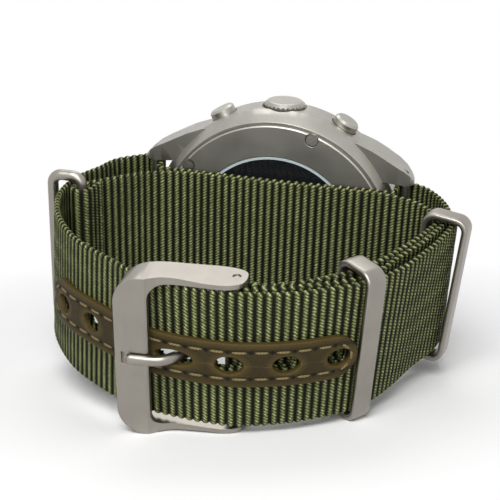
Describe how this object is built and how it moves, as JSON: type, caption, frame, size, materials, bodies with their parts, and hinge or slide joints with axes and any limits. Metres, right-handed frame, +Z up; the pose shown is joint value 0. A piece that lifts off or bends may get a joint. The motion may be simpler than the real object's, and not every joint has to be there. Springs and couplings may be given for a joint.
{
  "type": "pilot watch",
  "caption": "Chronograph wristwatch on its side, with a see-through case back and an olive webbing strap closed by a prong buckle, keepers and a leather-faced tail.",
  "frame": {"origin": "middle of the box that holds the watch, on the surface that it stands on", "axes": "+Z up, +X towards the case's 12 o'clock side, +Y towards the dial, which leans back by 11.17 degrees; the crown points up"},
  "size_m": [0.0707, 0.0643, 0.0445],
  "materials": {
    "case_steel": "bead-blasted satin steel",
    "crown_steel": "satin steel",
    "fitting_steel": "bead-blasted satin steel",
    "small_steel": "turned steel",
    "movement_metal": "nickelled and grained",
    "wheel_brass": "gilt",
    "blued_steel": "blued",
    "holder_plastic": "matt",
    "window_glass": "clear sapphire",
    "crystal_glass": "clear sapphire",
    "pale_gasket": "matt",
    "gasket_rubber": "black",
    "dial_black": "matt black",
    "marker_paint": "off-white",
    "hand_paint": "off-white",
    "chrono_paint": "orange",
    "webbing": "ribbed nylon webbing",
    "strap_leather": "waxed leather",
    "thread": "waxed thread"
  },
  "bodies": {
    "watch": {"case_middle": "case_steel", "bezel": "case_steel", "crystal": "crystal_glass", "crystal_gasket": "gasket_rubber", "inner_flange": "dial_black", "dial": "dial_black", "dial_markers": "marker_paint", "case_back": "case_steel", "back_window": "window_glass", "back_window_gasket": "pale_gasket", "back_gasket": "gasket_rubber", "back_screws": "small_steel", "crown_tube": "small_steel", "pusher_tubes": "small_steel", "start_pusher_spring": "small_steel", "reset_pusher_spring": "small_steel", "spring_bar_12": "small_steel", "spring_bar_6": "small_steel", "movement_ring": "holder_plastic", "main_plate": "movement_metal", "train_bridge": "movement_metal", "movement_screws": "small_steel", "balance_cock": "movement_metal", "rotor_screw": "small_steel", "main_strap": "webbing", "under_strap": "webbing", "leather_strip": "strap_leather", "strap_stitching": "thread", "keeper_near": "fitting_steel", "keeper_far": "fitting_steel"},
    "sliding_pinion": {"sliding_pinion": "small_steel"},
    "crown": {"crown": "crown_steel", "winding_stem": "small_steel", "crown_gasket": "gasket_rubber"},
    "setting_lever": {"setting_lever": "small_steel"},
    "start_pusher": {"start_pusher": "crown_steel"},
    "reset_pusher": {"reset_pusher": "crown_steel"},
    "fourth_wheel": {"fourth_wheel": "wheel_brass", "small_seconds_hand": "hand_paint"},
    "third_wheel": {"third_wheel": "wheel_brass"},
    "minute_hand": {"centre_wheel": "wheel_brass", "minute_hand": "hand_paint"},
    "hour_hand": {"hour_hand": "hand_paint"},
    "barrel": {"mainspring_barrel": "wheel_brass"},
    "escape_wheel": {"escape_wheel": "wheel_brass"},
    "pallet_fork": {"pallet_fork": "small_steel"},
    "balance": {"balance_wheel": "wheel_brass", "hairspring": "blued_steel"},
    "chrono_seconds": {"chrono_seconds_hand": "chrono_paint"},
    "minute_counter": {"minute_counter_hand": "hand_paint"},
    "hour_counter": {"hour_counter_hand": "hand_paint"},
    "rotor": {"rotor": "movement_metal"},
    "buckle": {"buckle_frame": "fitting_steel", "buckle_pin": "fitting_steel"},
    "prong": {"buckle_prong": "fitting_steel"},
    "end_ring": {"strap_ring": "fitting_steel"}
  },
  "joints": [
    {"name": "crown_turn", "type": "hinge", "parent": "watch", "child": "sliding_pinion", "pos_m": [0.00204, 0.02018, 0.03669], "axis": [0.0937, -0.1929, 0.9767], "continuous": true},
    {"name": "crown_pull", "type": "slide", "parent": "sliding_pinion", "child": "crown", "axis": [0.0937, -0.1929, 0.9767], "range_m": [0, 0.001]},
    {"name": "setting_lever_turn", "type": "hinge", "parent": "watch", "child": "setting_lever", "pos_m": [0.00479, 0.02164, 0.03415], "axis": [0, 0.981, 0.1938], "range_deg": [0, 19.2]},
    {"name": "start_press", "type": "slide", "parent": "watch", "child": "start_pusher", "axis": [-0.5617, 0.1603, -0.8116], "range_m": [0, 0.0008], "stiffness_N_per_m": 800, "springref_m": -0.001, "deforming": ["start_pusher_spring"]},
    {"name": "reset_press", "type": "slide", "parent": "watch", "child": "reset_pusher", "axis": [0.3975, 0.1778, -0.9002], "range_m": [0, 0.0008], "stiffness_N_per_m": 800, "springref_m": -0.001, "deforming": ["reset_pusher_spring"]},
    {"name": "fourth_wheel_turn", "type": "hinge", "parent": "watch", "child": "fourth_wheel", "pos_m": [-0.00013, 0.02332, 0.01377], "axis": [0, -0.981, -0.1938], "continuous": true},
    {"name": "third_wheel_turn", "type": "hinge", "parent": "watch", "child": "third_wheel", "pos_m": [0.00307, 0.02267, 0.01709], "axis": [0, -0.981, -0.1938], "continuous": true},
    {"name": "minute_hand_turn", "type": "hinge", "parent": "watch", "child": "minute_hand", "pos_m": [0.00064, 0.02174, 0.02177], "axis": [0, -0.981, -0.1938], "continuous": true},
    {"name": "hour_hand_turn", "type": "hinge", "parent": "watch", "child": "hour_hand", "pos_m": [0.00064, 0.02174, 0.02177], "axis": [0, -0.981, -0.1938], "continuous": true},
    {"name": "barrel_turn", "type": "hinge", "parent": "watch", "child": "barrel", "pos_m": [-0.00432, 0.02077, 0.0267], "axis": [0, -0.981, -0.1938], "continuous": true},
    {"name": "escape_wheel_turn", "type": "hinge", "parent": "watch", "child": "escape_wheel", "pos_m": [-0.00396, 0.02352, 0.01278], "axis": [0, -0.981, -0.1938], "continuous": true},
    {"name": "fork_rock", "type": "hinge", "parent": "watch", "child": "pallet_fork", "pos_m": [-0.0064, 0.02312, 0.01482], "axis": [0, -0.981, -0.1938], "range_deg": [-5, 5]},
    {"name": "balance_swing", "type": "hinge", "parent": "watch", "child": "balance", "pos_m": [-0.00892, 0.02221, 0.01682], "axis": [0, -0.981, -0.1938], "range_deg": [-135, 135], "stiffness_Nm_per_rad": 0.000001},
    {"name": "chrono_seconds_turn", "type": "hinge", "parent": "watch", "child": "chrono_seconds", "pos_m": [0.00064, 0.02174, 0.02177], "axis": [0, -0.981, -0.1938], "continuous": true},
    {"name": "minute_counter_turn", "type": "hinge", "parent": "watch", "child": "minute_counter", "pos_m": [0.0088, 0.02189, 0.02102], "axis": [0, -0.981, -0.1938], "continuous": true},
    {"name": "hour_counter_turn", "type": "hinge", "parent": "watch", "child": "hour_counter", "pos_m": [-0.00753, 0.02159, 0.02253], "axis": [0, -0.981, -0.1938], "continuous": true},
    {"name": "rotor_spin", "type": "hinge", "parent": "watch", "child": "rotor", "pos_m": [0.00064, 0.019, 0.02123], "axis": [0, -0.981, -0.1938], "continuous": true},
    {"name": "buckle_swing", "type": "hinge", "parent": "watch", "child": "buckle", "pos_m": [0.00438, -0.02376, 0.01243], "axis": [0.0935, -0.2541, 0.9626], "range_deg": [0, 2]},
    {"name": "prong_swing", "type": "hinge", "parent": "buckle", "child": "prong", "pos_m": [0.00438, -0.02376, 0.01243], "axis": [0.0935, -0.2541, 0.9626], "range_deg": [0, 2]},
    {"name": "ring_swing", "type": "hinge", "parent": "watch", "child": "end_ring", "pos_m": [-0.02846, 0.00257, 0.02078], "axis": [0.0937, -0.1929, 0.9767], "range_deg": [-3, 3]}
  ],
  "couplings": [
    {"joint": "setting_lever_turn", "follows": "crown_pull", "rad_per_m": 333.33},
    {"joint": "third_wheel_turn", "follows": "fourth_wheel_turn", "ratio": -0.13333},
    {"joint": "minute_hand_turn", "follows": "fourth_wheel_turn", "ratio": 0.016667},
    {"joint": "hour_hand_turn", "follows": "fourth_wheel_turn", "ratio": 0.0013889},
    {"joint": "barrel_turn", "follows": "fourth_wheel_turn", "ratio": -0.0020833},
    {"joint": "escape_wheel_turn", "follows": "fourth_wheel_turn", "ratio": -10},
    {"joint": "minute_counter_turn", "follows": "chrono_seconds_turn", "ratio": 0.033333},
    {"joint": "hour_counter_turn", "follows": "chrono_seconds_turn", "ratio": 0.0013889}
  ]
}
